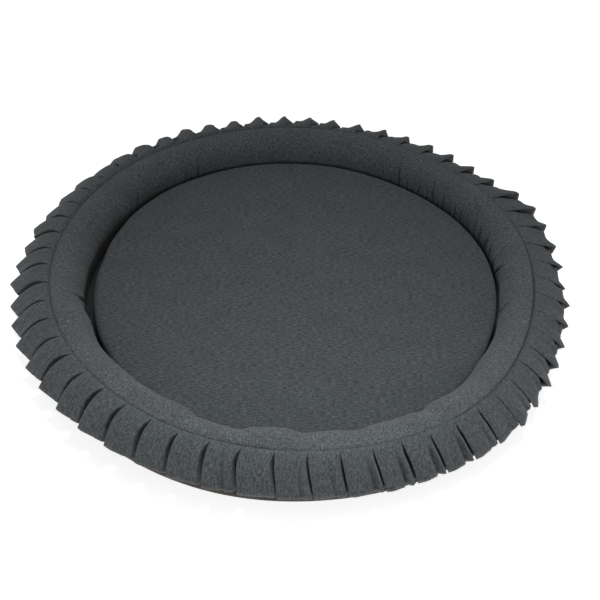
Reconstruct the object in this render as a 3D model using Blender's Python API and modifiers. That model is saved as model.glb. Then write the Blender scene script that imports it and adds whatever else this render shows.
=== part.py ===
"""Round nest mat: a flat filled floor pad inside a stuffed ring, with a knife-pleated ruffle
sewn into the ring's outer seam and a thin cloth panel underneath.

The mat lies on its underside panel at z = 0, with +Z up. Angles run counter-clockwise seen
from above, from +X, so the near side of the mat is at 270 degrees and the far side at 90.
"""

import math
import random
from collections import namedtuple

import bmesh
import bpy
from mathutils import Vector

MM = 0.001

# Driving sizes, in metres
SEAM_RADIUS = 0.440
SEAM_HEIGHT = 0.0788
PANEL_THICKNESS = 0.0015
PIECE_GAP = 0.0003
PANEL_REACH = 0.0335
PANEL_TOP = PANEL_THICKNESS + PIECE_GAP

# The ruffle: a strip of cloth folded into knife pleats, whose folds all face clockwise
PLEATS = 58
FIRST_PLEAT = math.radians(194.2)
CLOTH_THICKNESS = 0.0010
LAYER = 0.0015
UNDERLAP_AT_SEAM = 0.018
RUFFLE_DROP = 0.071
LEAD = 0.026
LEAD_SLOPE_SHARE = 0.32
SEAM_CLEARANCE = 0.0002
OPENING_CURVE = 0.7
DROP_ROWS = (0.0, 0.27, 0.62, 1.0)
PLEAT_JITTER = 0.05
RISE_JITTER = 0.22
DROOP_JITTER_DEG = 2.5

# The mat isn't quite round or even: waves around it, how many, their size and where one peaks.
# The seam's outline, the seam's height and the ring's crest are in mm, the pleats' sway in degrees
Wave = namedtuple("Wave", "count size peak_deg")
OUTLINE_WAVES = (
    Wave(2, 3.4, 60),
    Wave(4, 1.5, 31),
    Wave(5, 1.1, 22),
    Wave(6, 1.3, 18),
)
SEAM_HEIGHT_WAVES = (
    Wave(1, 4.5, 176),
    Wave(2, 3.2, 52),
)
PLEAT_SWAY_WAVES = (
    Wave(1, 0.4, 32),
    Wave(2, 1.0, 130),
)
CREST_WAVES = (
    Wave(6, 1.3, 20),
    Wave(11, 1.2, 4),
    Wave(17, 0.8, 13),
)

# How the ruffle hangs and the ring is gathered, in zones around the mat
Zone = namedtuple("Zone", "at_deg droop_deg rise_mm gather_mm")
ZONES = (
    Zone(0, 35, 11, 4.0),
    Zone(30, 25, 11, 7.0),
    Zone(60, 32, 13, 9.0),
    Zone(90, 36, 15, 5.0),
    Zone(120, 43, 16, 4.5),
    Zone(150, 48, 17, 4.5),
    Zone(180, 49, 17, 2.0),
    Zone(210, 50, 16, 2.0),
    Zone(240, 52, 15, 1.5),
    Zone(270, 57, 13, 1.5),
    Zone(300, 59, 13, 1.5),
    Zone(330, 48, 12, 2.0),
)

# The ring's section, up its inner side, over the crest and down its outer side to the foot:
# how far out from the seam, how high, and how much the gathers and the crest's waves act there
RingPoint = namedtuple("RingPoint", "out_mm up_mm gather wave")
RING_FILLING_CENTRE = (-19.0, 40.0)
RING_SECTION = (
    RingPoint(-48.0, 1.8, 0.0, 0.0),
    RingPoint(-53.5, 9.0, 0.0, 0.0),
    RingPoint(-54.5, 24.0, 0.0, 0.0),
    RingPoint(-55.5, 38.0, 0.3, 0.3),
    RingPoint(-53.0, 52.0, 1.0, 1.0),
    RingPoint(-45.5, 66.0, 0.8, 1.0),
    RingPoint(-33.0, 78.0, 0.4, 1.0),
    RingPoint(-19.0, 84.0, 0.15, 1.0),
    RingPoint(-6.0, 84.6, 0.0, 0.5),
    RingPoint(-0.5, 82.0, 0.0, 0.0),
    RingPoint(-0.6, 78.0, 0.0, 0.0),
    RingPoint(4.0, 73.8, 0.0, 0.0),
    RingPoint(12.5, 65.0, 0.0, 0.0),
    RingPoint(20.0, 53.5, 0.0, 0.0),
    RingPoint(25.0, 40.0, 0.0, 0.0),
    RingPoint(26.0, 27.0, 0.0, 0.0),
    RingPoint(23.5, 13.0, 0.0, 0.0),
    RingPoint(17.0, 4.0, 0.0, 0.0),
    RingPoint(11.0, 1.8, 0.0, 0.0),
)

# The pad's section beside the ring: how far out from the seam, and how high
PadPoint = namedtuple("PadPoint", "out_mm up_mm")
PAD_EDGE = (
    PadPoint(-62.0, 1.8),
    PadPoint(-56.0, 7.0),
    PadPoint(-54.9, 20.0),
    PadPoint(-56.8, 30.5),
    PadPoint(-63.0, 35.8),
    PadPoint(-80.0, 38.4),
)
# The pad's crown inside that edge: share of the way to the middle, and how high
CrownPoint = namedtuple("CrownPoint", "inward up_mm")
PAD_CROWN = (
    CrownPoint(0.14, 39.8),
    CrownPoint(0.36, 40.8),
    CrownPoint(0.64, 41.4),
    CrownPoint(0.95, 41.7),
)

# One pleat's face from its fold edge to where it slips under the next pleat: share of the
# pitch, layers below it where it is pressed at the seam, share of the fold's opening it keeps
FacePoint = namedtuple("FacePoint", "along layers opened")
PLEAT_FACE = (
    FacePoint(0.22, 1.8, 1.04),
    FacePoint(0.66, 0.8, 0.74),
    FacePoint(0.86, 0.1, 0.04),
)

# Cloth colours, linear, with roughness
Cloth = namedtuple("Cloth", "colour roughness")
CHARCOAL_PAD = Cloth((0.056, 0.065, 0.071), 0.95)
CHARCOAL_RING = Cloth((0.064, 0.073, 0.079), 0.95)
CHARCOAL_RUFFLE = Cloth((0.060, 0.068, 0.074), 0.95)
WARM_GREY_PANEL = Cloth((0.200, 0.182, 0.165), 0.9)


def clear_scene():
    """Remove every object that the scene starts with."""
    for item in list(bpy.data.objects):
        bpy.data.objects.remove(item, do_unlink=True)


def cloth_material(name, cloth):
    """A plain woven-cloth material."""
    material = bpy.data.materials.new(name)
    material.use_nodes = True
    shader = material.node_tree.nodes["Principled BSDF"]
    shader.inputs["Base Color"].default_value = (*cloth.colour, 1.0)
    shader.inputs["Roughness"].default_value = cloth.roughness
    shader.inputs["Metallic"].default_value = 0.0
    return material


def waves(rows, angle):
    """The sum of a table's waves at an angle."""
    return sum(row.size * math.cos(row.count * (angle - math.radians(row.peak_deg))) for row in rows)


def outline(angle):
    """Radius of the ruffle's seam at an angle."""
    return SEAM_RADIUS + waves(OUTLINE_WAVES, angle) * MM


def seam_lift(angle):
    """How much higher than its mean height the seam lies at an angle."""
    return waves(SEAM_HEIGHT_WAVES, angle) * MM


def around(column, angle):
    """A column of the zone table at an angle, eased from each row to the next."""
    place = math.degrees(angle) % 360 * len(ZONES) / 360
    row = int(place)
    share = place - row
    ease = share * share * (3 - 2 * share)
    here = getattr(ZONES[row % len(ZONES)], column)
    there = getattr(ZONES[(row + 1) % len(ZONES)], column)
    return here + (there - here) * ease


def pleat_angle(number):
    """Angle of a pleat's fold edge at the seam."""
    even = FIRST_PLEAT + number * 2 * math.pi / PLEATS
    return even + math.radians(waves(PLEAT_SWAY_WAVES, even))


def at(radius, angle, height):
    """A point of the mat from its radius, angle and height."""
    return Vector((radius * math.cos(angle), radius * math.sin(angle), height))


def step_angles():
    """The angles of the ring's and the pad's steps, with one on every pleat's fold edge."""
    angles = []
    for number in range(PLEATS):
        start, end = pleat_angle(number), pleat_angle(number + 1)
        angles += [start, (start + end) / 2]
    return angles


def loft(name, columns, closed_section):
    """A mesh through columns of points that run once around the mat, with its ends capped."""
    mesh_data = bmesh.new()
    grid = [[mesh_data.verts.new(point) for point in column] for column in columns]
    rows = len(grid[0])
    for here, there in zip(grid, grid[1:] + grid[:1]):
        for row in range(rows if closed_section else rows - 1):
            above = (row + 1) % rows
            mesh_data.faces.new((here[row], there[row], there[above], here[above]))
    bmesh.ops.recalc_face_normals(mesh_data, faces=mesh_data.faces)
    mesh = bpy.data.meshes.new(name)
    mesh_data.to_mesh(mesh)
    mesh_data.free()
    return mesh


def cap_ends(mesh):
    """Close a mesh's open loops with one flat face each."""
    mesh_data = bmesh.new()
    mesh_data.from_mesh(mesh)
    open_edges = [edge for edge in mesh_data.edges if edge.is_boundary]
    bmesh.ops.edgenet_fill(mesh_data, edges=open_edges)
    bmesh.ops.recalc_face_normals(mesh_data, faces=mesh_data.faces)
    mesh_data.to_mesh(mesh)
    mesh_data.free()


def add_piece(name, mesh, cloth, collection):
    """An object for a mesh, with its cloth, shaded smooth."""
    mesh.shade_smooth()
    mesh.materials.append(cloth_material(name + "_cloth", cloth))
    piece = bpy.data.objects.new(name, mesh)
    collection.objects.link(piece)
    return piece


def make_floor_pad(collection):
    """The crowned filled disc inside the ring, drawn in at its edge and flat underneath."""
    columns = []
    for angle in step_angles():
        edge = [
            at(outline(angle) + row.out_mm * MM, angle, row.up_mm * MM) for row in PAD_EDGE
        ]
        reach = outline(angle) + PAD_EDGE[-1].out_mm * MM
        crown = [at(reach * (1 - row.inward), angle, row.up_mm * MM) for row in PAD_CROWN]
        columns.append(edge + crown)
    mesh = loft("floor_pad", columns, closed_section=False)
    cap_ends(mesh)
    return add_piece("floor_pad", mesh, CHARCOAL_PAD, collection)


def make_bolster_ring(collection):
    """The stuffed ring: flat foot, rounded sides, gathers above the pad, groove for the ruffle."""
    chance = random.Random(11)
    centre = Vector((RING_FILLING_CENTRE[0] * MM, RING_FILLING_CENTRE[1] * MM))
    columns = []
    for number, angle in enumerate(step_angles()):
        valley = number % 2
        dent = around("gather_mm", angle) * MM * (0.3 + 0.7 * chance.random()) * valley
        column = []
        for row in RING_SECTION:
            place = Vector((row.out_mm * MM, row.up_mm * MM))
            outward = (place - centre).normalized()
            swell = row.wave * waves(CREST_WAVES, angle) * MM
            lift = seam_lift(angle) * (place.y - PANEL_TOP) / (SEAM_HEIGHT - PANEL_TOP)
            place += outward * (swell - row.gather * dent)
            column.append(at(outline(angle) + place.x, angle, place.y + lift))
        columns.append(column)
    mesh = loft("bolster_ring", columns, closed_section=True)
    return add_piece("bolster_ring", mesh, CHARCOAL_RING, collection)


def hang(angle, share, droop_change):
    """Radius and height of the ruffle's base line at a share of its drop, and its outward side."""
    droop = math.radians(around("droop_deg", angle) + droop_change)
    lead_slope = LEAD_SLOPE_SHARE * droop
    start = Vector((outline(angle) + SEAM_CLEARANCE, SEAM_HEIGHT + seam_lift(angle)))
    bend = start + LEAD * Vector((math.cos(lead_slope), -math.sin(lead_slope)))
    hem = bend + (RUFFLE_DROP - LEAD) * Vector((math.cos(droop), -math.sin(droop)))
    upper = start.lerp(bend, share)
    lower = bend.lerp(hem, share)
    along = (lower - upper).normalized()
    return upper.lerp(lower, share), Vector((-along.y, along.x))


def underlap(pitch, rise, cloth_length):
    """How far a pleat's inner fold lies past its fold edge, for the cloth that one pleat holds."""
    low, high = 0.0, cloth_length / 2
    for _ in range(24):
        middle = (low + high) / 2
        used = math.hypot(pitch + middle, rise) + math.hypot(middle, rise)
        if used < cloth_length:
            low = middle
        else:
            high = middle
    return (low + high) / 2


def ruffle_columns():
    """Columns of points down the ruffle, pleat by pleat around the mat."""
    chance = random.Random(5)
    starts = [
        pleat_angle(number) + (chance.random() - 0.5) * PLEAT_JITTER * 2 * math.pi / PLEATS
        for number in range(PLEATS)
    ]
    starts.append(starts[0] + 2 * math.pi)
    columns = []
    for start, end in zip(starts, starts[1:]):
        droop_change = (chance.random() - 0.5) * 2 * DROOP_JITTER_DEG
        full_rise = around("rise_mm", start) * MM * (1 + RISE_JITTER * (chance.random() - 0.5))
        cloth_length = (end - start) * outline(start) + 2 * UNDERLAP_AT_SEAM
        pleat = [[] for _ in range(4 + len(PLEAT_FACE))]
        for share in DROP_ROWS:
            opened = (full_rise - 2 * LAYER) * share**OPENING_CURVE
            radius = hang(start, share, droop_change)[0].x
            pitch = (end - start) * radius
            fold = underlap(pitch, opened, cloth_length) / radius
            path = [(fold, 0.0), (fold, LAYER), (0.0, LAYER + opened), (0.0, 2 * LAYER + opened)]
            path += [
                (row.along * (end - start), row.layers * LAYER + row.opened * opened)
                for row in PLEAT_FACE
            ]
            for column, (turn, lift) in zip(pleat, path):
                base, outward = hang(start + turn, share, droop_change)
                place = base + outward * lift
                column.append(at(place.x, start + turn, place.y))
        columns += pleat
    return columns


def make_ruffle(collection):
    """The pleated strip, sewn at its top edge and free at its hem."""
    mesh = loft("ruffle", ruffle_columns(), closed_section=False)
    piece = add_piece("ruffle", mesh, CHARCOAL_RUFFLE, collection)
    cloth = piece.modifiers.new("cloth_thickness", "SOLIDIFY")
    cloth.thickness = CLOTH_THICKNESS
    cloth.offset = 0.0
    cloth.use_even_offset = True
    return piece


def make_base_panel(collection):
    """The thin cloth disc that the mat lies on."""
    columns = [
        [
            at(outline(angle) + PANEL_REACH, angle, 0.0),
            at(outline(angle) + PANEL_REACH, angle, PANEL_THICKNESS),
        ]
        for angle in step_angles()
    ]
    mesh = loft("base_panel", columns, closed_section=False)
    cap_ends(mesh)
    return add_piece("base_panel", mesh, WARM_GREY_PANEL, collection)


def main():
    """Build the nest mat's four pieces in a collection of their own."""
    clear_scene()
    collection = bpy.data.collections.new("nest_mat")
    bpy.context.scene.collection.children.link(collection)
    make_base_panel(collection)
    make_floor_pad(collection)
    make_bolster_ring(collection)
    make_ruffle(collection)


main()
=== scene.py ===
"""The looks of a round nest mat in charcoal heathered cloth: a crowned floor pad, a stuffed ring
with gathers along its inner seam, a ruffle of knife pleats and a thin warm grey base cloth.

Metres, +Z up, angles counter-clockwise from +X as seen from above. The cloth's own coordinates,
in metres of flat cloth, are kept in a UV map named "cloth" that the weave follows.
"""

import math
import random
from collections import namedtuple

import bpy
import numpy as np
from mathutils import Matrix, Vector


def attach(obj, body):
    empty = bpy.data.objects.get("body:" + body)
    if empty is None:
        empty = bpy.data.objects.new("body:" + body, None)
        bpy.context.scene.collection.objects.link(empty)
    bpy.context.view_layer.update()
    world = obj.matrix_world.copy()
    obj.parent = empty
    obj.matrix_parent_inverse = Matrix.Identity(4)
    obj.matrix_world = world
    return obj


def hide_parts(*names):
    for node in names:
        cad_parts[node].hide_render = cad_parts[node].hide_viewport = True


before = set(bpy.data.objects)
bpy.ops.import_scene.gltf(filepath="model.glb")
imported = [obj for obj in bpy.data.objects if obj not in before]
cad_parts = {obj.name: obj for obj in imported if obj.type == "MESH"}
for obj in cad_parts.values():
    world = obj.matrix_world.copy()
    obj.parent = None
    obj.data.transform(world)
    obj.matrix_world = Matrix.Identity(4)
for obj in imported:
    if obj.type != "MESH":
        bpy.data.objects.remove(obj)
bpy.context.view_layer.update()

MM = 0.001
TURN = 2 * math.pi

# The mat's driving sizes, the same as those of its solids
SEAM_RADIUS = 0.440
SEAM_HEIGHT = 0.0788
PANEL_THICKNESS = 0.0015
PANEL_TOP = 0.0018
PANEL_REACH = 0.0335
PLEATS = 58
FIRST_PLEAT = math.radians(194.2)
LAYER = 0.0015
UNDERLAP_AT_SEAM = 0.018
RUFFLE_DROP = 0.071
LEAD = 0.026
LEAD_SLOPE_SHARE = 0.32
SEAM_CLEARANCE = 0.0002
PLEAT_JITTER = 0.05
RISE_JITTER = 0.22
DROOP_JITTER_DEG = 2.5

# Waves around the mat: how many, their size in mm or degrees, and where one peaks
Wave = namedtuple("Wave", "count size peak_deg")
OUTLINE_WAVES = (Wave(2, 3.4, 60), Wave(4, 1.5, 31), Wave(5, 1.1, 22), Wave(6, 1.3, 18))
SEAM_HEIGHT_WAVES = (Wave(1, 4.5, 176), Wave(2, 3.2, 52))
PLEAT_SWAY_WAVES = (Wave(1, 0.4, 32), Wave(2, 1.0, 130))
CREST_WAVES = (Wave(6, 1.3, 20), Wave(11, 1.2, 4), Wave(17, 0.8, 13))

# How the ruffle hangs in zones around the mat: its droop, how high a pleat's fold stands over
# the next one at the hem, how early down the drop it opens, how much of that it keeps at the
# hem, how high its face still lies where it dives beside the next fold, half-way down and at
# the hem, over what share of the face it sinks to that, how wide the groove there is, how far
# the fold edge bows sideways, how deep the soft crease in the face is, how much longer the fold
# edge hangs than the rest of the hem, over what share of the pleat that tip runs out, how blunt
# its corner is, and how far the fold edge leans counter-clockwise at the hem
Zone = namedtuple(
    "Zone",
    "at_deg droop_deg rise_mm early hem tail hem_tail sinks groove_mm bow_mm crease slant_mm tip"
    " blunt lean_mm",
)
ZONES = (
    Zone(0, 35, 5, 3.0, 1.0, 0.50, 0.20, 0.5, 0.0, 0.5, 0.10, 11.0, 0.24, 0.0, 2.0),
    Zone(30, 25, 14, 1.6, 1.0, 0.30, 0.10, 0.8, 0.0, 0.5, 0.06, 7.0, 0.60, 0.5, 0.0),
    Zone(60, 30, 14, 1.4, 1.0, 0.30, 0.10, 0.8, 0.0, 1.0, 0.06, 7.0, 0.60, 0.5, 0.0),
    Zone(90, 32, 16, 0.7, 0.90, 0.20, 0.15, 0.7, 0.5, 1.0, 0.04, 12.0, 0.7, 0.5, -2.0),
    Zone(120, 37, 20, 0.55, 0.90, 0.30, 0.20, 0.8, 1.5, 1.5, 0.04, 14.0, 1.0, 0.0, -5.0),
    Zone(150, 48, 20, 0.45, 0.85, 0.80, 0.70, 1.1, 5.0, 3.0, 0.05, 20.0, 1.0, 0.0, -4.0),
    Zone(180, 49, 18, 0.55, 0.95, 0.96, 0.90, 1.2, 6.0, 3.0, 0.08, 23.0, 1.0, 0.0, -4.0),
    Zone(210, 50, 17, 0.6, 0.90, 0.95, 0.85, 1.3, 6.5, 4.5, 0.12, 12.0, 1.0, 0.0, 0.0),
    Zone(240, 52, 16, 0.6, 0.90, 0.93, 0.88, 1.5, 6.0, 5.0, 0.20, 2.5, 1.0, 0.2, 4.0),
    Zone(270, 57, 14, 0.6, 0.95, 0.92, 0.88, 1.5, 4.5, 3.0, 0.80, 1.0, 1.0, 0.2, 8.0),
    Zone(300, 59, 12, 0.7, 0.95, 0.90, 0.75, 1.3, 2.4, 1.0, 0.90, 2.5, 1.0, 0.4, 9.0),
    Zone(330, 48, 8, 1.8, 1.0, 0.70, 0.40, 0.8, 0.4, 0.5, 0.30, 9.0, 0.30, 0.2, 6.0),
)

# The ring's section up its inner side, over the crest and down its outer side to the foot
RingPoint = namedtuple("RingPoint", "out_mm up_mm wave")
RING_FILLING_CENTRE = (-19.0, 40.0)
RING_SECTION = (
    RingPoint(-48.0, 1.8, 0.0),
    RingPoint(-53.5, 9.0, 0.0),
    RingPoint(-54.5, 24.0, 0.0),
    RingPoint(-55.5, 38.0, 0.3),
    RingPoint(-53.0, 52.0, 1.0),
    RingPoint(-45.5, 66.0, 1.0),
    RingPoint(-33.0, 78.0, 1.0),
    RingPoint(-19.0, 84.0, 1.0),
    RingPoint(-6.0, 84.6, 0.5),
    RingPoint(-0.6, 82.9, 0.0),
    RingPoint(-0.9, 79.2, 0.0),
    RingPoint(2.4, 76.8, 0.0),
    RingPoint(7.0, 71.6, 0.0),
    RingPoint(13.0, 64.4, 0.0),
    RingPoint(20.0, 53.5, 0.0),
    RingPoint(25.0, 40.0, 0.0),
    RingPoint(26.0, 27.0, 0.0),
    RingPoint(23.5, 13.0, 0.0),
    RingPoint(17.0, 4.0, 0.0),
    RingPoint(11.0, 1.8, 0.0),
)
RING_SECTION_CREST = 7
RING_COLUMNS = PLEATS * 28
RING_STEPS = 3
# Where the section's rounded lip and the painted shadow line along the seam lie, counted in rows of
# the table
SEAM_LIP = 9.3
SEAM_SHADOW_ROW = 8.85

# A size at one place around the mat; the tables of them are eased from row to row
Place = namedtuple("Place", "at_deg size")

# How far the ring's inner crest stands out from its even section, in mm
CREST_FORM = (
    Place(0, 1), Place(15, 0), Place(30, 1), Place(45, 0), Place(60, 1), Place(90, 0),
    Place(120, 1), Place(150, 1), Place(180, 0), Place(190, 1), Place(197, -2), Place(204, 4),
    Place(218, 5), Place(229, 7), Place(239, 7), Place(246, 9), Place(250, 1), Place(255, -1),
    Place(260, -3), Place(263, 4), Place(267, 7), Place(271, 7), Place(274, 3), Place(281, 7),
    Place(287, 3), Place(291, 6), Place(301, 5), Place(304, 2), Place(308, 7), Place(320, 4),
    Place(340, 2), Place(350, 0),
)

# How thick the pleats' pressed layers lie, as a share of LAYER
PRESSED = (
    Place(0, 0.3), Place(40, 0.3), Place(62, 0.5), Place(90, 1.0), Place(300, 1.0),
    Place(325, 0.6), Place(340, 0.35),
)
# Where the pleats open towards the hem so that both sides of a fold show, and from how far down
FLARED = (
    Place(0, 1), Place(132, 1), Place(148, 0), Place(322, 0), Place(332, 1),
)
FLARED_FROM = (
    Place(0, 0.72), Place(15, 0.72), Place(25, 0.45), Place(60, 0.45), Place(84, 0.15),
    Place(150, 0.15), Place(200, 0.72),
)
# How far the open side of such a fold reaches back, as a share of the pleat, and how much of the
# painted fold shade fades out towards the hem there
FLARE_BACK = (
    Place(0, 0.18), Place(12, 0.18), Place(25, 0.08), Place(60, 0.10), Place(92, 0.32),
    Place(150, 0.32), Place(200, 0.18),
)
FLARE_SHADE_FADE = (
    Place(0, 0.8), Place(70, 0.8), Place(95, 0.1), Place(150, 0.3), Place(320, 0.3),
    Place(335, 0.8),
)
# How much longer the ruffle hangs than elsewhere, in mm
LONGER = (
    Place(0, 0), Place(14, 0), Place(20, 3), Place(24, 7), Place(31, 7), Place(35, -3),
    Place(40, -9), Place(50, -7), Place(62, -2), Place(75, 0),
)
# How far a groove's bottom sinks below the ruffle's base line, as a share of its width
GROOVE_SUNK = 1.1

# How far the ring's cloth closes over the ruffle's seam, how dark the painted shadow line along
# the seam is, and how far the ruffle's seam allowance turns in under the ring
SEAM_CLOSED = (
    Place(0, -0.7), Place(60, -0.5), Place(90, 0), Place(140, 0.3), Place(190, 0), Place(225, 1.8),
    Place(300, 2.0), Place(325, 0.4), Place(340, -0.6),
)
SEAM_SHADE = (
    Place(0, 0.95), Place(70, 0.95), Place(95, 0.35), Place(130, 0.15), Place(170, 0.35),
    Place(210, 0.3), Place(240, 0.1), Place(300, 0.1), Place(322, 0.5),
)
TUCK_IN = (
    Place(0, 0.4), Place(62, 0.4), Place(90, 2.4), Place(315, 2.4), Place(335, 0.4),
)

# Gathers along the ring's inner seam: where each starts above the pad and where it ends, as
# angle and distance up the ring's section, with its depth and the width of its valley
Gather = namedtuple("Gather", "from_deg from_mm to_deg to_mm deep_mm wide_mm")
GATHERS = (
    Gather(58.0, 28, 60.0, 104, 4.2, 3.4),
    Gather(61.0, 28, 61.4, 66, 2.6, 2.6),
    Gather(59.1, 28, 59.8, 64, 2.4, 2.4),
    Gather(55.0, 28, 55.8, 70, 3.2, 2.8),
    Gather(53.0, 28, 53.2, 62, 2.0, 2.4),
    Gather(50.8, 28, 51.2, 76, 3.4, 3.2),
    Gather(47.6, 28, 48.5, 68, 3.0, 2.8),
    Gather(45.0, 28, 48.2, 94, 4.6, 3.4),
    Gather(43.2, 28, 43.6, 62, 2.2, 2.2),
    Gather(41.0, 28, 42.3, 76, 4.0, 3.6),
    Gather(38.2, 28, 38.4, 60, 2.2, 2.4),
    Gather(35.8, 28, 37.0, 72, 4.0, 3.2),
    Gather(33.0, 30, 34.4, 78, 3.6, 3.0),
    Gather(30.0, 28, 30.4, 58, 1.8, 2.4),
    Gather(26.2, 30, 27.7, 76, 4.6, 3.2),
    Gather(23.6, 30, 25.2, 82, 4.0, 3.0),
    Gather(20.0, 28, 20.4, 80, 4.4, 3.6),
    Gather(15.8, 30, 17.6, 76, 4.0, 3.2),
    Gather(12.5, 28, 12.0, 60, 2.2, 2.8),
    Gather(9.2, 30, 6.2, 86, 4.2, 3.4),
    Gather(349.4, 32, 353.6, 94, 4.6, 3.6),
    Gather(148.8, 30, 145.0, 86, 4.4, 3.4),
    Gather(151.5, 28, 150.5, 60, 1.8, 2.8),
    Gather(129.4, 28, 127.0, 72, 3.6, 3.0),
    Gather(124.2, 30, 123.4, 84, 3.4, 3.0),
    Gather(126.6, 28, 126.2, 58, 1.8, 2.4),
    Gather(194.0, 30, 197.4, 90, 4.0, 4.4),
)
# Seeded small gathers between those of the table, how deep all of them are cut, and where the
# small ones are strong
SMALL_GATHERS = 170
GATHER_DEPTH = 1.7
GATHER_ZONES = (
    Place(0, 0.4), Place(20, 0.7), Place(60, 0.8), Place(80, 0.5), Place(120, 0.6),
    Place(150, 0.5), Place(165, 0.2), Place(330, 0.2), Place(345, 0.5),
)

# The pad's edge beside the ring, then its crown towards the middle
PadPoint = namedtuple("PadPoint", "out_mm up_mm")
PAD_EDGE = (
    PadPoint(-58.0, 1.8),
    PadPoint(-50.8, 2.2),
    PadPoint(-51.6, 3.0),
    PadPoint(-55.0, 6.2),
    PadPoint(-55.3, 20.0),
    PadPoint(-56.6, 30.0),
    PadPoint(-61.0, 35.6),
    PadPoint(-71.0, 38.0),
    PadPoint(-88.0, 38.8),
)
CrownPoint = namedtuple("CrownPoint", "inward up_mm")
PAD_CROWN = (
    CrownPoint(0.12, 39.9),
    CrownPoint(0.22, 40.3),
    CrownPoint(0.34, 40.7),
    CrownPoint(0.47, 41.0),
    CrownPoint(0.60, 41.3),
    CrownPoint(0.73, 41.5),
    CrownPoint(0.85, 41.6),
    CrownPoint(0.95, 41.7),
)
PAD_COLUMNS = 464
PAD_STEPS = 4

# How much further the base cloth reaches at the front, in mm
BASE_FORM = (
    Place(0, 0), Place(205, 0), Place(232, 0.5), Place(262, 1.5), Place(285, 0.5), Place(310, 0),
)
# Where the pad's edge lies away from the ring, in mm
PAD_EASE = (
    Place(0, 4), Place(60, 3), Place(100, 2.5), Place(130, 4), Place(150, 6), Place(164, 10),
    Place(176, 15), Place(195, 16), Place(212, 13), Place(226, 9), Place(242, 4), Place(255, 1),
    Place(305, 2), Place(325, 5),
)

# Colours, linear: each cloth's ground, its light and its dark fibres, a warmer, lighter brown along
# the ruffle's hem and the painted shade deep in the folds, the crevices and along the seam
Dye = namedtuple("Dye", "ground light dark")
PAD_DYE = Dye((0.040, 0.047, 0.051), (0.080, 0.090, 0.096), (0.016, 0.020, 0.023))
RING_DYE = Dye((0.056, 0.064, 0.068), (0.110, 0.121, 0.127), (0.022, 0.026, 0.029))
RUFFLE_DYE = Dye((0.050, 0.058, 0.062), (0.098, 0.109, 0.115), (0.020, 0.024, 0.027))
BASE_DYE = Dye((0.320, 0.298, 0.276), (0.400, 0.376, 0.350), (0.230, 0.212, 0.194))
HEM_COLOUR = (0.150, 0.132, 0.118)
PAINTED_SHADE_COLOUR = (0.004, 0.005, 0.006)
THREAD_PITCH = 4400

# The camera and the lamps
CAMERA_PLACE = (0.01206, -1.46980, 1.33572)
CAMERA_DOWN_DEG = 42.47
CAMERA_ROLL_DEG = 3.37
LENS_MM, SENSOR_MM = 63.36, 36
Lamp = namedtuple("Lamp", "name place aim size cone_deg energy")
LAMPS = (
    Lamp("key", (-0.05, 1.1, 3.8), (0.12, -1.05, 0), 0.75, 34, 1420),
    Lamp("fill", (0.0, -3.5, 1.6), (0.03, 0.40, 0.04), 0.4, 14, 230),
)
FLOOR_HALF = 60
FLOOR_ALBEDO = (0.8, 0.8, 0.8, 1)
FLOOR_GLOW = 0.78
SKY_STRENGTH = 0.3
WHITE = (1, 1, 1, 1)


def waves(rows, angle):
    """The sum of a table's waves at one or more angles."""
    return sum(
        row.size * np.cos(row.count * (angle - math.radians(row.peak_deg))) for row in rows
    )


def outline(angle):
    """Radius of the ruffle's seam."""
    return SEAM_RADIUS + waves(OUTLINE_WAVES, angle) * MM


def seam_lift(angle):
    """How much higher than its mean height the seam lies."""
    return waves(SEAM_HEIGHT_WAVES, angle) * MM


def around(table, column, angle):
    """A column of a table at one or more angles, eased from each row to the next."""
    places = np.array([math.radians(row.at_deg) for row in table] + [TURN])
    values = np.array([getattr(row, column) for row in table])
    values = np.append(values, values[0])
    turned = np.asarray(angle) % TURN
    row = np.clip(np.searchsorted(places, turned, side="right") - 1, 0, len(table) - 1)
    share = (turned - places[row]) / (places[row + 1] - places[row])
    ease = share * share * (3 - 2 * share)
    return values[row] + (values[row + 1] - values[row]) * ease


def smooth(share):
    """Eases a share that runs past 0 and 1."""
    share = np.clip(share, 0, 1)
    return share * share * (3 - 2 * share)


def polar(radius, angle, height):
    """Points from their radius, angle and height."""
    radius, angle, height = np.broadcast_arrays(radius, angle, height)
    return np.stack([radius * np.cos(angle), radius * np.sin(angle), height], -1)


def ripples(angle, across, seed, count, turns, crossings):
    """Unevenness from about -1 to 1: seeded cosine ripples around the mat and across the cloth."""
    chance = random.Random(seed)
    total = 0
    for _ in range(count):
        about = chance.randint(*turns)
        along = chance.uniform(*crossings)
        total = total + np.cos(about * angle + along * across + chance.uniform(0, TURN))
    return total / math.sqrt(count)


def curve_through(points, steps, closed):
    """A smooth curve through an array's first axis, with some steps to each stretch."""
    points = np.asarray(points, float)
    if closed:
        before, start = np.roll(points, 1, 0), points
        end, after = np.roll(points, -1, 0), np.roll(points, -2, 0)
    else:
        first, last = 2 * points[:1] - points[1:2], 2 * points[-1:] - points[-2:-1]
        row = np.concatenate([first, points, last])
        before, start, end, after = row[:-3], row[1:-2], row[2:-1], row[3:]
    pieces = []
    for step in range(steps):
        t = step / steps
        pieces.append(
            0.5
            * (
                2 * start
                + (end - before) * t
                + (2 * before - 5 * start + 4 * end - after) * t**2
                + (3 * start - before - 3 * end + after) * t**3
            )
        )
    curve = np.stack(pieces, 1).reshape(-1, *points.shape[1:])
    return curve if closed else np.concatenate([curve, points[-1:]])


def cloth_object(name, vertices, faces, corner_cloth):
    """A smooth-shaded mesh object with the cloth's own coordinates at its corners."""
    mesh = bpy.data.meshes.new(name)
    mesh.from_pydata(vertices.tolist(), [], faces)
    layer = mesh.uv_layers.new(name="cloth")
    layer.data.foreach_set("uv", np.asarray(corner_cloth, np.float32).ravel())
    mesh.shade_smooth()
    mesh.update()
    piece = bpy.data.objects.new(name, mesh)
    bpy.context.scene.collection.objects.link(piece)
    return piece


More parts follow.
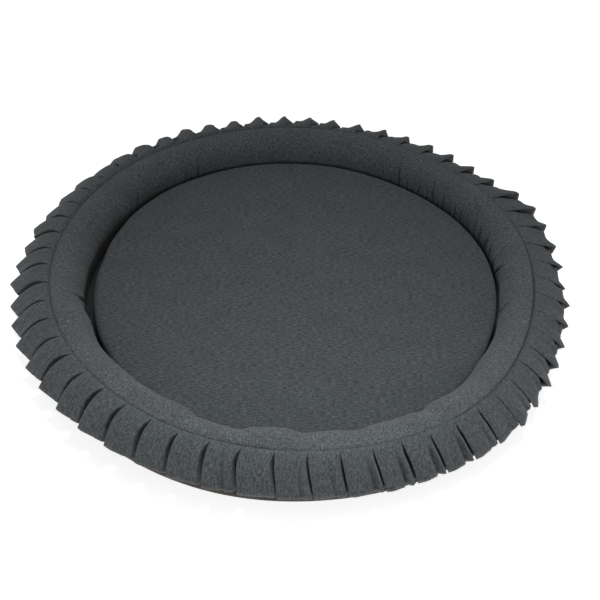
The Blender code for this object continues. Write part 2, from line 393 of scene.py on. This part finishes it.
def keep_values(piece, name, values):
    """Keeps one value for each of a piece's points, for its material."""
    layer = piece.data.attributes.new(name, "FLOAT", "POINT")
    layer.data.foreach_set("value", np.asarray(values, np.float32).ravel())


def grid_around(points, along, across, closed_section):
    """Faces and their corners' cloth coordinates for a grid that runs once around the mat."""
    columns, rows = points.shape[:2]
    index = np.arange(columns * rows).reshape(columns, rows)
    index = np.concatenate([index, index[:1]])
    if closed_section:
        index = np.concatenate([index, index[:, :1]], 1)
    corners = (index[:-1, :-1], index[1:, :-1], index[1:, 1:], index[:-1, 1:])
    faces = np.stack(corners, -1).reshape(-1, 4)
    cloth = np.stack([along, across], -1)
    corners = (cloth[:-1, :-1], cloth[1:, :-1], cloth[1:, 1:], cloth[:-1, 1:])
    return faces, np.stack(corners, -2).reshape(-1, 2)


def close_middles(faces, columns, rows):
    """Faces that close a disc's grid: its last row to a middle point and its first to another."""
    faces = faces.tolist()
    outer = np.arange(columns) * rows
    inner, centre = outer + rows - 1, columns * rows
    for here, there in zip(inner, np.roll(inner, -1)):
        faces.append((int(here), int(there), centre))
    for here, there in zip(outer, np.roll(outer, -1)):
        faces.append((int(there), int(here), centre + 1))
    return faces


def lengths_along(points, axis):
    """Running length along an axis of an array of points, starting at 0."""
    steps = np.linalg.norm(np.diff(points, axis=axis), axis=-1)
    total = np.cumsum(steps, axis=axis)
    return np.concatenate([np.zeros_like(np.take(total, [0], axis)), total], axis)


# The stuffed ring


def ring_base():
    """The ring's even section around the mat, its outward directions and its running length."""
    section = np.array([(row.out_mm, row.up_mm, row.wave) for row in RING_SECTION])
    section = curve_through(section, RING_STEPS, closed=True)
    place = section[:, :2] * MM
    run = np.concatenate([[0], np.cumsum(np.linalg.norm(np.diff(place, axis=0), axis=1))])
    outward = place - np.array(RING_FILLING_CENTRE) * MM
    outward /= np.linalg.norm(outward, axis=1, keepdims=True)
    return place, section[:, 2], run, outward


def crease(offset, wide):
    """A valley's section: sharp in its bottom, with a soft shoulder on each side."""
    away = np.abs(offset) / wide
    return -np.exp(-1.2 * away**1.3) + 0.38 * np.exp(-(((away - 2.1) / 1.1) ** 2))


def all_gathers():
    """The gathers that the table gives, and the seeded small ones between them."""
    chance = random.Random(23)
    rows = list(GATHERS)
    for _ in range(SMALL_GATHERS):
        place = chance.uniform(0, 360)
        strength = float(around(GATHER_ZONES, "size", math.radians(place)))
        lean, reach = chance.uniform(-0.8, 0.8), 38 + 34 * chance.random() * min(strength, 1)
        deep, wide = 1.5 * strength * chance.uniform(0.3, 1), chance.uniform(1.8, 3.2)
        rows.append(Gather(place, 28, place + lean, reach, deep, wide))
    return rows


def gathered(angle, run):
    """How far the gathers move the ring's cloth, outward from its filling."""
    total = np.zeros(np.broadcast(angle, run).shape)
    radius = SEAM_RADIUS - 0.05
    for row in all_gathers():
        span = max(abs(row.to_deg - row.from_deg), 0) + 4
        middle = math.radians((row.from_deg + row.to_deg) / 2)
        near = np.abs((angle[:, 0] - middle + math.pi) % TURN - math.pi) < math.radians(span)
        share = (run[0] - row.from_mm * MM) / ((row.to_mm - row.from_mm) * MM)
        lean = math.radians(row.to_deg - row.from_deg) * np.clip(share, -0.3, 1.2)
        turn = (angle[near] - math.radians(row.from_deg) - lean + math.pi) % TURN - math.pi
        depth = smooth((share + 0.35) / 0.4) * (1 - smooth(share)) ** 0.8
        wide = row.wide_mm * MM * (0.60 + 0.55 * np.clip(share, 0, 1))
        total[near] += GATHER_DEPTH * row.deep_mm * MM * depth * crease(turn * radius, wide)
    return total


def make_ring():
    """The ring's cover, with its crest's unevenness, its gathers and its puckers at the seam."""
    place, wave, run, outward = ring_base()
    angle = (np.arange(RING_COLUMNS) * TURN / RING_COLUMNS)[:, None]
    run = run[None]
    crest = smooth((run - 0.030) / 0.028) * (1 - smooth((run - 0.082) / 0.034))
    swell = wave * waves(CREST_WAVES, angle) * MM
    swell = swell + crest * around(CREST_FORM, "size", angle) * MM
    top = smooth((run - 0.020) / 0.02) * (1 - smooth((run - 0.100) / 0.016))
    swell = swell + top * 0.7 * MM * ripples(angle, run, 31, 16, (10, 46), (-60, 60))
    swell = swell + top * 0.22 * MM * ripples(angle, run, 32, 20, (90, 240), (-110, 110))
    creased = gathered(angle, run)
    swell = swell + creased
    seam = np.exp(-(((run - 0.1165) / 0.0042) ** 2))
    pucker = ripples(angle, run, 33, 6, (270, 350), (-20, 20))
    swell = swell + seam * 0.30 * MM * pucker
    out = place[:, 0] + outward[:, 0] * swell
    up = place[:, 1] + outward[:, 1] * swell
    up = np.maximum(up, PANEL_TOP)
    up = up + seam_lift(angle) * (up - PANEL_TOP) / (SEAM_HEIGHT - PANEL_TOP)
    lip = np.exp(-(((np.arange(out.shape[1]) / RING_STEPS - SEAM_LIP) / 0.9) ** 2))
    closed = lip * around(SEAM_CLOSED, "size", angle) * MM
    out, up = out + closed, up - 0.4 * np.maximum(closed, 0)
    points = polar(outline(angle) + out, angle, up)
    closed_run = np.append(run[0], run[0, -1] + 0.059)
    along = np.broadcast_to(closed_run, (RING_COLUMNS + 1, closed_run.size))
    turned = np.arange(RING_COLUMNS + 1)[:, None] * TURN / RING_COLUMNS * (SEAM_RADIUS - 0.02)
    across = np.broadcast_to(turned, along.shape)
    faces, cloth = grid_around(points, along, across, closed_section=True)
    piece = cloth_object("ring_cover", points.reshape(-1, 3), faces.tolist(), cloth)
    step = np.arange(out.shape[1]) / RING_STEPS
    # Painted shade: darker colour low on the inner wall beside the pad and in the gathers' valleys
    below = (step < RING_SECTION_CREST) * smooth((0.040 - points[..., 2]) / 0.010)
    painted_valley_shade = smooth((-creased - 0.0008) / 0.0035) * 0.75
    # Painted shadow: a dark line along the ring's lip at the seam
    ring_seam_shadow = np.exp(-(((step - SEAM_SHADOW_ROW) / 0.3) ** 2)) * around(SEAM_SHADE, "size", angle)
    keep_values(piece, "depth", np.maximum(np.maximum(below, painted_valley_shade), ring_seam_shadow))
    return piece


# The floor pad


def make_pad():
    """The pad's cover: flat underneath, rounded and drawn in at its edge, softly crowned."""
    angle = (np.arange(PAD_COLUMNS) * TURN / PAD_COLUMNS)[:, None]
    rim = outline(angle)
    ease = around(PAD_EASE, "size", angle) * MM
    edge = []
    for row in PAD_EDGE:
        lifted = smooth((row.up_mm - 3) / 3)
        edge.append((rim + row.out_mm * MM - ease * lifted, row.up_mm * MM - 0.10 * ease * lifted))
    reach = rim + PAD_EDGE[-1].out_mm * MM - ease
    crown = [(reach * (1 - row.inward), row.up_mm * MM + 0 * angle) for row in PAD_CROWN]
    section = np.array([np.concatenate([r, z + 0 * r], 1) for r, z in edge + crown])
    section = curve_through(section, PAD_STEPS, closed=False).transpose(1, 0, 2)
    points = polar(section[..., 0], angle, section[..., 1])
    middle = np.array([[0, 0, PAD_CROWN[-1].up_mm * MM], [0, 0, PANEL_TOP]])
    vertices = np.concatenate([points.reshape(-1, 3), middle])
    top = smooth((vertices[:, 2] - 0.028) / 0.010)
    turned = np.arctan2(vertices[:, 1], vertices[:, 0])
    away = np.hypot(vertices[:, 0], vertices[:, 1])
    inside = smooth(away / 0.12)
    vertices[:, 2] += top * inside * 0.7 * MM * ripples(turned, away, 41, 14, (3, 14), (-40, 40))
    rows = points.shape[1]
    along = np.zeros((PAD_COLUMNS + 1, rows))
    faces, _ = grid_around(points, along, along, closed_section=False)
    faces = close_middles(faces, PAD_COLUMNS, rows)
    cloth = vertices[[corner for face in faces for corner in face]][:, :2]
    piece = cloth_object("pad_cover", vertices, faces, cloth)
    # Painted shade: the pad's cloth is darker in colour low at its edge, in the crevice beside the
    # ring
    keep_values(piece, "depth", smooth((0.036 - vertices[:, 2]) / 0.008))
    return piece


# The ruffle


def hang(angle, share, droop):
    """Radius and height of the ruffle's base line at shares of its drop, and its outward side."""
    lead_slope = LEAD_SLOPE_SHARE * droop
    lift = seam_lift(angle)
    start = np.stack(
        np.broadcast_arrays(outline(angle) + SEAM_CLEARANCE, SEAM_HEIGHT + lift, droop), -1
    )[..., :2]
    bend = start + LEAD * np.stack([np.cos(lead_slope), -np.sin(lead_slope)], -1)
    hem = bend + (RUFFLE_DROP - LEAD) * np.stack([np.cos(droop), -np.sin(droop)], -1)
    share = share[..., None]
    upper = start + (bend - start) * share
    lower = bend + (hem - bend) * share
    along = lower - upper
    along /= np.linalg.norm(along, axis=-1, keepdims=True)
    return upper + (lower - upper) * share, np.stack([-along[..., 1], along[..., 0]], -1)


def underlap(pitch, rise, cloth_length):
    """How far a pleat's inner fold lies past its fold edge, for the cloth that one pleat holds."""
    low, high = np.zeros_like(rise), np.full_like(rise, cloth_length / 2)
    for _ in range(24):
        middle = (low + high) / 2
        fits = np.hypot(pitch + middle, rise) + np.hypot(middle, rise) < cloth_length
        low, high = np.where(fits, middle, low), np.where(fits, high, middle)
    return (low + high) / 2


# Where a pleat's section has its points: around its fold edge, down its hidden return, along its
# face, where that dives, on the flat part below and around the inner fold; then the rows down
# the drop, how long a dive is, and how far the turned-in allowance lies below the seam
FOLD_TURN = np.radians(np.array([-90, -55, -20, 15, 50, 90]))
RETURN_SHARES = np.linspace(0, 1, 7)[:-1]
FACE_SHARES = np.array([
    0.025, 0.07, 0.13, 0.20, 0.28, 0.36, 0.44, 0.52, 0.60, 0.68, 0.76, 0.83, 0.89, 0.94, 0.975,
    1.0,
])
DIVE_SHARES = np.array([0.12, 0.30, 0.52, 0.74, 0.92])
TAIL_SHARES = np.array([0.25, 0.62])
INNER_TURN = np.radians(np.array([-90, -30, 30]))
ROWS = 21
DROP_SHARES = np.linspace(0, 1, ROWS) ** 1.1
DIVE_LENGTH = 0.0042
TUCK_DOWN = 0.0012


def pleat_angle(number):
    """Angle of a pleat's fold edge at the seam."""
    even = FIRST_PLEAT + number * TURN / PLEATS
    return even + math.radians(waves(PLEAT_SWAY_WAVES, even))


Pleat = namedtuple(
    "Pleat",
    "start droop radius pitch bow groove opened tail sinks crease_at crease slant cloth fold"
    " layer sunk lean flared",
)


def all_pleats():
    """The pleats around the mat, each with its sizes down the drop."""
    chance, finer = random.Random(5), random.Random(8)
    starts = [
        pleat_angle(number) + (chance.random() - 0.5) * PLEAT_JITTER * TURN / PLEATS
        for number in range(PLEATS)
    ]
    starts.append(starts[0] + TURN)
    share = DROP_SHARES
    pleats = []
    for start, end in zip(starts, starts[1:]):
        zone = Zone(None, *(float(around(ZONES, name, start)) for name in Zone._fields[1:]))
        droop = math.radians(zone.droop_deg + (chance.random() - 0.5) * 2 * DROOP_JITTER_DEG)
        rise = zone.rise_mm * MM * (1 + RISE_JITTER * (chance.random() - 0.5))
        early = zone.early * finer.uniform(0.85, 1.15)
        kept = 1 - (1 - zone.hem * finer.uniform(0.8, 1.1)) * smooth((share - 0.45) / 0.55)
        layer = LAYER * float(around(PRESSED, "size", start))
        opened = (rise - 2 * layer) * share**early * kept
        bow = zone.bow_mm * MM * finer.uniform(0.5, 1.4) * np.sin(math.pi * share)
        open_hem = finer.uniform(0.35, 1.1)
        wedge = smooth(share / 0.5) * (1 - (1 - open_hem) * smooth((share - 0.72) / 0.28))
        groove = zone.groove_mm * MM * finer.uniform(0.55, 1.3) * wedge
        crease_at, crease = finer.uniform(0.62, 0.80), zone.crease * finer.uniform(0.1, 1.5)
        tail = zone.tail + (zone.hem_tail - zone.tail) * smooth((share - 0.5) / 0.5)
        tail = 1 - (1 - tail * finer.uniform(0.92, 1.04)) * smooth(share / 0.4)
        slant = zone.slant_mm * MM * finer.uniform(0.65, 1.3)
        lean = (zone.lean_mm + finer.uniform(-2.0, 2.0)) * MM * share
        line, _ = hang(np.full(ROWS, start), share, np.full(ROWS, droop))
        pitch = (end - start) * line[:, 0]
        cloth = (end - start) * outline(start) + 2 * UNDERLAP_AT_SEAM
        opens = float(around(FLARED_FROM, "size", start))
        flared = float(around(FLARED, "size", start)) * smooth((share - opens) / 0.28)
        reach_back = float(around(FLARE_BACK, "size", start)) * flared
        groove = groove + (reach_back + 0.03 * flared) * pitch
        fold = underlap(pitch, opened, cloth) * (1 - flared) - reach_back * pitch
        pleats.append(
            Pleat(
                start, droop, line[:, 0], pitch, bow, groove, opened, tail, zone.sinks, crease_at,
                crease * smooth((share - 0.15) / 0.5), slant, cloth,
                fold, layer, GROOVE_SUNK * groove * (1 - flared), lean, flared,
            )
        )
    return pleats


def pleat_section(pleat, after):
    """One pleat's path across each row: how far along, how high and its painted shade in the folds.
    """
    pitch, bow, opened, groove = (
        part[:, None] for part in (pleat.pitch, pleat.bow, pleat.opened, after.groove)
    )
    layer, half = pleat.layer, pleat.layer / 2
    back = RETURN_SHARES[None]
    eased = smooth(back)
    straight = 0.35 + 0.65 * pleat.flared[:, None]
    out = (
        pleat.fold[:, None] * (1 - back) - bow * eased,
        layer + opened * (straight * back + (1 - straight) * eased)
        - pleat.sunk[:, None] * (1 - eased),
    )
    edge = (
        -half * np.cos(FOLD_TURN)[None] * 1.3 - bow,
        layer + half + opened + half * np.sin(FOLD_TURN)[None],
    )
    # The face runs to where it dives, short of the next pleat's fold edge by the groove
    dive_length = DIVE_LENGTH * (0.3 + 0.7 * smooth(DROP_SHARES / 0.3))[:, None]
    ends = pitch - bow - groove - dive_length
    share = FACE_SHARES[None]
    level = 1 - (1 - pleat.tail[:, None]) * smooth(share / pleat.sinks) / smooth(1 / pleat.sinks)
    level = level + 0.05 * np.sin(math.pi * np.minimum(share * 2.5, 1))
    valley = np.exp(-(((share - pleat.crease_at) / 0.065) ** 2))
    ridge = np.exp(-(((share - pleat.crease_at - 0.14) / 0.06) ** 2))
    level = level - pleat.crease[:, None] * (valley - 0.45 * ridge)
    top = 2 * layer + opened * level
    face = (share * ends - bow * (1 - share), top)
    # Then it turns down steeply, and lies flat under the next fold edge
    down, sunk = DIVE_SHARES[None], after.sunk[:, None]
    low = 0.25 * layer - sunk
    dive = (
        ends + dive_length * (0.55 * down + 0.45 * smooth(down)),
        top[:, -1:] + (low - top[:, -1:]) * (0.25 * down + 0.75 * smooth(down)),
    )
    inner = pitch + after.fold[:, None]
    flat = (pitch + after.fold[:, None] * TAIL_SHARES[None], -sunk + 0 * TAIL_SHARES[None])
    turn_in = (
        inner + after.layer / 2 * np.cos(INNER_TURN)[None],
        after.layer / 2 * (1 + np.sin(INNER_TURN))[None] - sunk,
    )
    parts = [np.broadcast_arrays(run, lift) for run, lift in (out, edge, face, dive, flat, turn_in)]
    # Painted shade: the hidden return, the dive, the flat under the next fold edge and the inner
    # fold get darker colour
    painted_fold_shades = (1 - eased, 0 * FOLD_TURN, 0 * FACE_SHARES, smooth(down), 1 + 0 * TAIL_SHARES)
    painted_fold_shades = np.concatenate([np.ravel(shade) for shade in (*painted_fold_shades, 1 + 0 * INNER_TURN)])
    return (*(np.concatenate([part[side] for part in parts], 1) for side in (0, 1)), painted_fold_shades)


def ruffle_points():
    """The ruffle's points, columns along the strip and rows down the drop, with the warmth of
    their colour at the hem and the painted shade in their folds and along the seam."""
    share = DROP_SHARES[:, None]
    pleats = all_pleats()
    columns, warmth, depth = [], [], []
    for pleat, after in zip(pleats, pleats[1:] + pleats[:1]):
        run, lift, painted_fold_shades = pleat_section(pleat, after)
        place = run / pleat.pitch[:, None]
        towards_next = smooth((place - 0.1) / 0.85)
        lean = pleat.lean[:, None] + (after.lean - pleat.lean)[:, None] * towards_next
        angle = pleat.start + (run + lean) / pleat.radius[:, None]
        droop = pleat.droop + (after.droop - pleat.droop) * smooth((place - 0.55) / 0.4)
        droop = droop + np.radians(
            around(ZONES, "droop_deg", angle) - around(ZONES, "droop_deg", pleat.start)
        )
        # The hem hangs longest at the fold edge, or past it where the zone asks for a blunt corner
        blunt, tip = around(ZONES, "blunt", pleat.start), around(ZONES, "tip", pleat.start)
        longer = 0.5 - np.abs(place - 0.45 * blunt) / tip
        longer = np.where(place > 1, -0.4, np.clip(longer, -0.5, 0.5))
        extra = longer * pleat.slant + around(LONGER, "size", angle) * MM
        down = share * (1 + extra / RUFFLE_DROP * share)
        line, outward = hang(angle, down, droop)
        wrinkle = 0.30 * MM * down * ripples(angle, down, 51, 18, (60, 190), (-9, 9))
        slack = 0.9 * MM * down * ripples(angle, down, 52, 10, (14, 60), (-3, 3))
        point = line + outward * (lift + wrinkle + slack)[..., None]
        # The seam allowance turns in under the ring's lip
        inward = around(TUCK_IN, "size", angle[:1]) * MM
        tuck = point[:1] - np.stack([inward, TUCK_DOWN + 0.6 * lift[:1]], -1)
        point = np.concatenate([tuck, point])
        angle = np.concatenate([angle[:1], angle])
        columns.append(polar(point[..., 0], angle, point[..., 1]).transpose(1, 0, 2))
        turned_up = smooth((down - 0.985) / 0.02) * smooth((0.55 - tip) / 0.15)
        warm = np.maximum(smooth((share - 0.955) / 0.02), 0.8 * turned_up)
        warmth.append(np.concatenate([warm[:1], warm]).T)
        # Painted shade in the folds, faded towards the hem where the pleats open
        light = float(around(FLARE_SHADE_FADE, "size", pleat.start))
        deep = painted_fold_shades[None] * (1 - light * smooth((share - 0.75) / 0.25))
        # Painted shadow: a dark line along the ruffle's top at the seam
        ruffle_seam_shadow = np.exp(-((share / 0.045) ** 2)) * around(SEAM_SHADE, "size", angle[1:]) ** 2
        deep = np.maximum(deep, ruffle_seam_shadow)
        depth.append(np.concatenate([deep[:1], deep]).T)
    return np.concatenate(columns), np.concatenate(warmth), np.concatenate(depth)


def make_ruffle():
    """The pleated strip: a cloth in its folds, warmer and lighter in colour along its hem."""
    points, warmth, depth = ruffle_points()
    rows = points.shape[1]
    middle = lengths_along(np.concatenate([points[:, rows // 2], points[:1, rows // 2]]), 0)
    share = np.concatenate([[-0.04], DROP_SHARES])
    along = np.broadcast_to(share * RUFFLE_DROP, (points.shape[0] + 1, rows))
    across = np.broadcast_to(middle[:, None], along.shape)
    faces, cloth = grid_around(points, along, across, closed_section=False)
    piece = cloth_object("ruffle_cloth", points.reshape(-1, 3), faces.tolist(), cloth)
    keep_values(piece, "hem", warmth)
    keep_values(piece, "depth", depth)
    thickness = piece.modifiers.new("cloth_thickness", "SOLIDIFY")
    thickness.thickness = MM
    thickness.offset = 0.0
    thickness.use_even_offset = False
    return piece


# The base cloth


def make_base():
    """The base cloth: a flat disc with a softly rounded edge."""
    angle = (np.arange(PAD_COLUMNS) * TURN / PAD_COLUMNS)[:, None]
    reach = outline(angle) + PANEL_REACH + around(BASE_FORM, "size", angle) * MM
    edge = (
        (-0.35, 0.0), (-0.10, 0.12), (0.0, 0.45), (-0.08, 0.85), (-0.4, 1.0), (-6.0, 1.0),
        (-7.0, 0.9), (-60.0, 0.9),
    )
    rows = [(reach + out * MM, up * PANEL_THICKNESS + 0 * reach) for out, up in edge]
    points = np.stack([polar(r[:, 0], angle[:, 0], z[:, 0]) for r, z in rows], 1)
    middle = np.array([[0, 0, 0.9 * PANEL_THICKNESS], [0, 0, 0]])
    vertices = np.concatenate([points.reshape(-1, 3), middle])
    count = points.shape[1]
    flat = np.zeros((PAD_COLUMNS + 1, count))
    faces, _ = grid_around(points, flat, flat, closed_section=False)
    faces = close_middles(faces, PAD_COLUMNS, count)
    cloth = vertices[[corner for face in faces for corner in face]][:, :2]
    return cloth_object("base_cloth", vertices, faces, cloth)


# Materials


def group_tree(name, inputs, outputs):
    """An empty shader node group with named sockets, and its input and output nodes."""
    tree = bpy.data.node_groups.new(name, "ShaderNodeTree")
    for socket, kind, value in inputs:
        item = tree.interface.new_socket(socket, in_out="INPUT", socket_type=kind)
        if value is not None:
            item.default_value = value
    for socket, kind in outputs:
        tree.interface.new_socket(socket, in_out="OUTPUT", socket_type=kind)
    return tree, tree.nodes.new("NodeGroupInput"), tree.nodes.new("NodeGroupOutput")


def scaled(tree, vector, along, across):
    """The cloth's coordinates stretched along and across the threads."""
    node = tree.nodes.new("ShaderNodeMapping")
    node.inputs["Scale"].default_value = (along, across, 1)
    tree.links.new(vector, node.inputs["Vector"])
    return node.outputs["Vector"]


def noise(tree, vector, detail, roughness):
    """Noise over the cloth's coordinates, 0 to 1."""
    node = tree.nodes.new("ShaderNodeTexNoise")
    node.noise_dimensions = "2D"
    node.inputs["Scale"].default_value = 1
    node.inputs["Detail"].default_value = detail
    node.inputs["Roughness"].default_value = roughness
    tree.links.new(vector, node.inputs["Vector"])
    return node.outputs["Fac"]


def spread(tree, value, low, high, to_low=0.0, to_high=1.0):
    """A value stretched from one range to another."""
    node = tree.nodes.new("ShaderNodeMapRange")
    node.inputs["From Min"].default_value = low
    node.inputs["From Max"].default_value = high
    node.inputs["To Min"].default_value = to_low
    node.inputs["To Max"].default_value = to_high
    tree.links.new(value, node.inputs["Value"])
    return node.outputs["Result"]


def sums(tree, operation, first, second):
    """One sum of two values, each a socket or a number."""
    node = tree.nodes.new("ShaderNodeMath")
    node.operation = operation
    for socket, value in zip(node.inputs, (first, second)):
        if isinstance(value, (int, float)):
            socket.default_value = value
        else:
            tree.links.new(value, socket)
    return node.outputs["Value"]


def mixed(tree, share, first, second):
    """A colour mixed from two, each a socket or a colour."""
    node = tree.nodes.new("ShaderNodeMix")
    node.data_type = "RGBA"
    tree.links.new(share, node.inputs["Factor"])
    for socket, value in ((node.inputs["A"], first), (node.inputs["B"], second)):
        if isinstance(value, tuple):
            socket.default_value = (*value, 1)
        else:
            tree.links.new(value, socket)
    return node.outputs["Result"]


def heathered_cloth():
    """Heathered weave: slubs along the threads, cross threads, flecks and a fine plain weave."""
    inputs = (
        ("Cloth", "NodeSocketVector", None),
        ("Ground", "NodeSocketColor", None),
        ("Light Fibre", "NodeSocketColor", None),
        ("Dark Fibre", "NodeSocketColor", None),
        ("Slub Strength", "NodeSocketFloat", 1.0),
        ("Cross Strength", "NodeSocketFloat", 0.6),
        ("Fleck Strength", "NodeSocketFloat", 1.0),
    )
    outputs = (
        ("Colour", "NodeSocketColor"),
        ("Roughness", "NodeSocketFloat"),
        ("Height", "NodeSocketFloat"),
    )
    tree, given, result = group_tree("heathered cloth", inputs, outputs)
    cloth = given.outputs["Cloth"]
    slubs = noise(tree, scaled(tree, cloth, 110, 520), 2, 0.55)
    cross = noise(tree, scaled(tree, cloth, 520, 110), 2, 0.55)
    flecks = noise(tree, scaled(tree, cloth, 290, 340), 1, 0.5)
    cloud = noise(tree, scaled(tree, cloth, 16, 24), 2, 0.5)
    tone = 0.5
    parts = ((slubs, "Slub Strength"), (cross, "Cross Strength"), (flecks, "Fleck Strength"))
    for part, strength in parts:
        leaning = sums(tree, "SUBTRACT", part, 0.5)
        tone = sums(
            tree, "ADD", sums(tree, "MULTIPLY", leaning, given.outputs[strength]), tone
        )
    colour = mixed(
        tree, spread(tree, tone, 0.5, 0.8), given.outputs["Ground"], given.outputs["Light Fibre"]
    )
    colour = mixed(tree, spread(tree, tone, 0.5, 0.2), colour, given.outputs["Dark Fibre"])
    shade = spread(tree, cloud, 0.35, 0.7, 0.0, 0.16)
    colour = mixed(tree, shade, colour, given.outputs["Dark Fibre"])
    threads = []
    for along, across in ((THREAD_PITCH, 0), (0, THREAD_PITCH)):
        node = tree.nodes.new("ShaderNodeTexWave")
        node.bands_direction = "X" if along else "Y"
        node.inputs["Scale"].default_value = 1
        node.inputs["Distortion"].default_value = 1.2
        node.inputs["Detail"].default_value = 1
        stretch = scaled(tree, cloth, along or 300, across or 300)
        tree.links.new(stretch, node.inputs["Vector"])
        threads.append(node.outputs["Fac"])
    weave = sums(tree, "MULTIPLY", threads[0], threads[1])
    height = sums(tree, "MULTIPLY", weave, 0.35)
    height = sums(tree, "ADD", height, sums(tree, "MULTIPLY", tone, 1.2))
    tree.links.new(colour, result.inputs["Colour"])
    tree.links.new(spread(tree, slubs, 0.2, 0.8, 0.98, 0.86), result.inputs["Roughness"])
    tree.links.new(height, result.inputs["Height"])
    return tree


def cloth_finish(name, group, dye, slub, cross, fleck, relief_mm, tints):
    """A cloth's material: the weave group feeding colour, roughness and bump, with tints where
    the piece's points keep a value for them."""
    material = bpy.data.materials.new(name)
    material.use_nodes = True
    tree = material.node_tree
    shader = tree.nodes["Principled BSDF"]
    where = tree.nodes.new("ShaderNodeUVMap")
    where.uv_map = "cloth"
    weave = tree.nodes.new("ShaderNodeGroup")
    weave.node_tree = group
    tree.links.new(where.outputs["UV"], weave.inputs["Cloth"])
    for socket, colour in zip(("Ground", "Light Fibre", "Dark Fibre"), dye):
        weave.inputs[socket].default_value = (*colour, 1)
    weave.inputs["Slub Strength"].default_value = slub
    weave.inputs["Cross Strength"].default_value = cross
    weave.inputs["Fleck Strength"].default_value = fleck
    colour = weave.outputs["Colour"]
    for kept, strength, tint in tints:
        place = tree.nodes.new("ShaderNodeAttribute")
        place.attribute_name = kept
        share = sums(tree, "MULTIPLY", place.outputs["Fac"], strength)
        colour = mixed(tree, share, colour, tint)
    bump = tree.nodes.new("ShaderNodeBump")
    bump.inputs["Strength"].default_value = 0.6
    bump.inputs["Distance"].default_value = relief_mm * MM
    tree.links.new(weave.outputs["Height"], bump.inputs["Height"])
    tree.links.new(colour, shader.inputs["Base Color"])
    tree.links.new(weave.outputs["Roughness"], shader.inputs["Roughness"])
    tree.links.new(bump.outputs["Normal"], shader.inputs["Normal"])
    shader.inputs["Specular IOR Level"].default_value = 0.25
    shader.inputs["Sheen Weight"].default_value = 0.08
    shader.inputs["Sheen Roughness"].default_value = 0.6
    return material


def dress(piece, material, node):
    """Gives a piece its cloth and its body, and hides the node that it stands for."""
    piece.data.materials.append(material)
    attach(piece, "root")
    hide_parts(node)


# The studio: the camera, the floor and the light


def place_camera():
    """The camera: where it stands, how far it looks down, and its small roll."""
    camera = bpy.data.cameras.new("camera")
    camera.sensor_width = SENSOR_MM
    camera.lens = LENS_MM
    stand = bpy.data.objects.new("camera", camera)
    down = math.radians(CAMERA_DOWN_DEG)
    right, up = Vector((1, 0, 0)), Vector((0, math.sin(down), math.cos(down)))
    back = Vector((0, -math.cos(down), math.sin(down)))
    turned = Matrix((right, up, back)).transposed().to_4x4()
    roll = Matrix.Rotation(math.radians(CAMERA_ROLL_DEG), 4, "Z")
    stand.matrix_world = Matrix.Translation(CAMERA_PLACE) @ turned @ roll
    bpy.context.scene.collection.objects.link(stand)
    bpy.context.scene.camera = stand


def add_spot(name, place, aim, size, cone_deg, energy):
    """A large soft spot lamp whose beam fades evenly towards its edge."""
    lamp = bpy.data.lights.new(name, "SPOT")
    lamp.shadow_soft_size = size
    lamp.spot_size = math.radians(cone_deg)
    lamp.spot_blend = 1
    lamp.energy = energy
    stand = bpy.data.objects.new(name, lamp)
    stand.location = place
    stand.rotation_euler = (Vector(aim) - Vector(place)).to_track_quat("-Z", "Y").to_euler()
    bpy.context.scene.collection.objects.link(stand)


def make_studio():
    """A pale lit floor, an even sky, a large soft lamp aimed at the front and a weak fill."""
    mesh = bpy.data.meshes.new("floor")
    half = FLOOR_HALF
    corners = [(-half, -half, 0), (half, -half, 0), (half, half, 0), (-half, half, 0)]
    mesh.from_pydata(corners, [], [(0, 1, 2, 3)])
    floor = bpy.data.objects.new("floor", mesh)
    bpy.context.scene.collection.objects.link(floor)
    paper = bpy.data.materials.new("floor_paper")
    paper.use_nodes = True
    shader = paper.node_tree.nodes["Principled BSDF"]
    shader.inputs["Base Color"].default_value = FLOOR_ALBEDO
    shader.inputs["Roughness"].default_value = 1
    shader.inputs["Specular IOR Level"].default_value = 0
    shader.inputs["Emission Color"].default_value = WHITE
    shader.inputs["Emission Strength"].default_value = FLOOR_GLOW
    mesh.materials.append(paper)
    world = bpy.data.worlds.new("sky")
    world.use_nodes = True
    sky = world.node_tree.nodes["Background"]
    sky.inputs["Color"].default_value = WHITE
    sky.inputs["Strength"].default_value = SKY_STRENGTH
    bpy.context.scene.world = world
    for lamp in LAMPS:
        add_spot(*lamp)
    bpy.context.scene.view_settings.view_transform = "Standard"


def main():
    """Builds the pieces and the studio."""
    place_camera()
    weave = heathered_cloth()
    pad, ring, ruffle, base = make_pad(), make_ring(), make_ruffle(), make_base()
    # The depth tint is painted shade; the hem tint is a warmer, lighter brown along the ruffle's
    # hem
    deep, hem = ("depth", 0.9, PAINTED_SHADE_COLOUR), ("hem", 0.6, HEM_COLOUR)
    finishes = (
        (pad, "pad_cloth", "floor_pad", PAD_DYE, (0.95, 0.3, 0.4, 0.5), [deep]),
        (ring, "ring_cloth", "bolster_ring", RING_DYE, (0.62, 0.5, 0.66, 0.5), [deep]),
        (ruffle, "ruffle_cloth", "ruffle", RUFFLE_DYE, (0.8, 0.35, 0.5, 0.4), [deep, hem]),
        (base, "base_cloth", "base_panel", BASE_DYE, (0.6, 0.6, 0.4, 0.3), []),
    )
    for piece, slot, node, dye, strengths, tints in finishes:
        dress(piece, cloth_finish(slot, weave, dye, *strengths, tints), node)
    make_studio()


main()
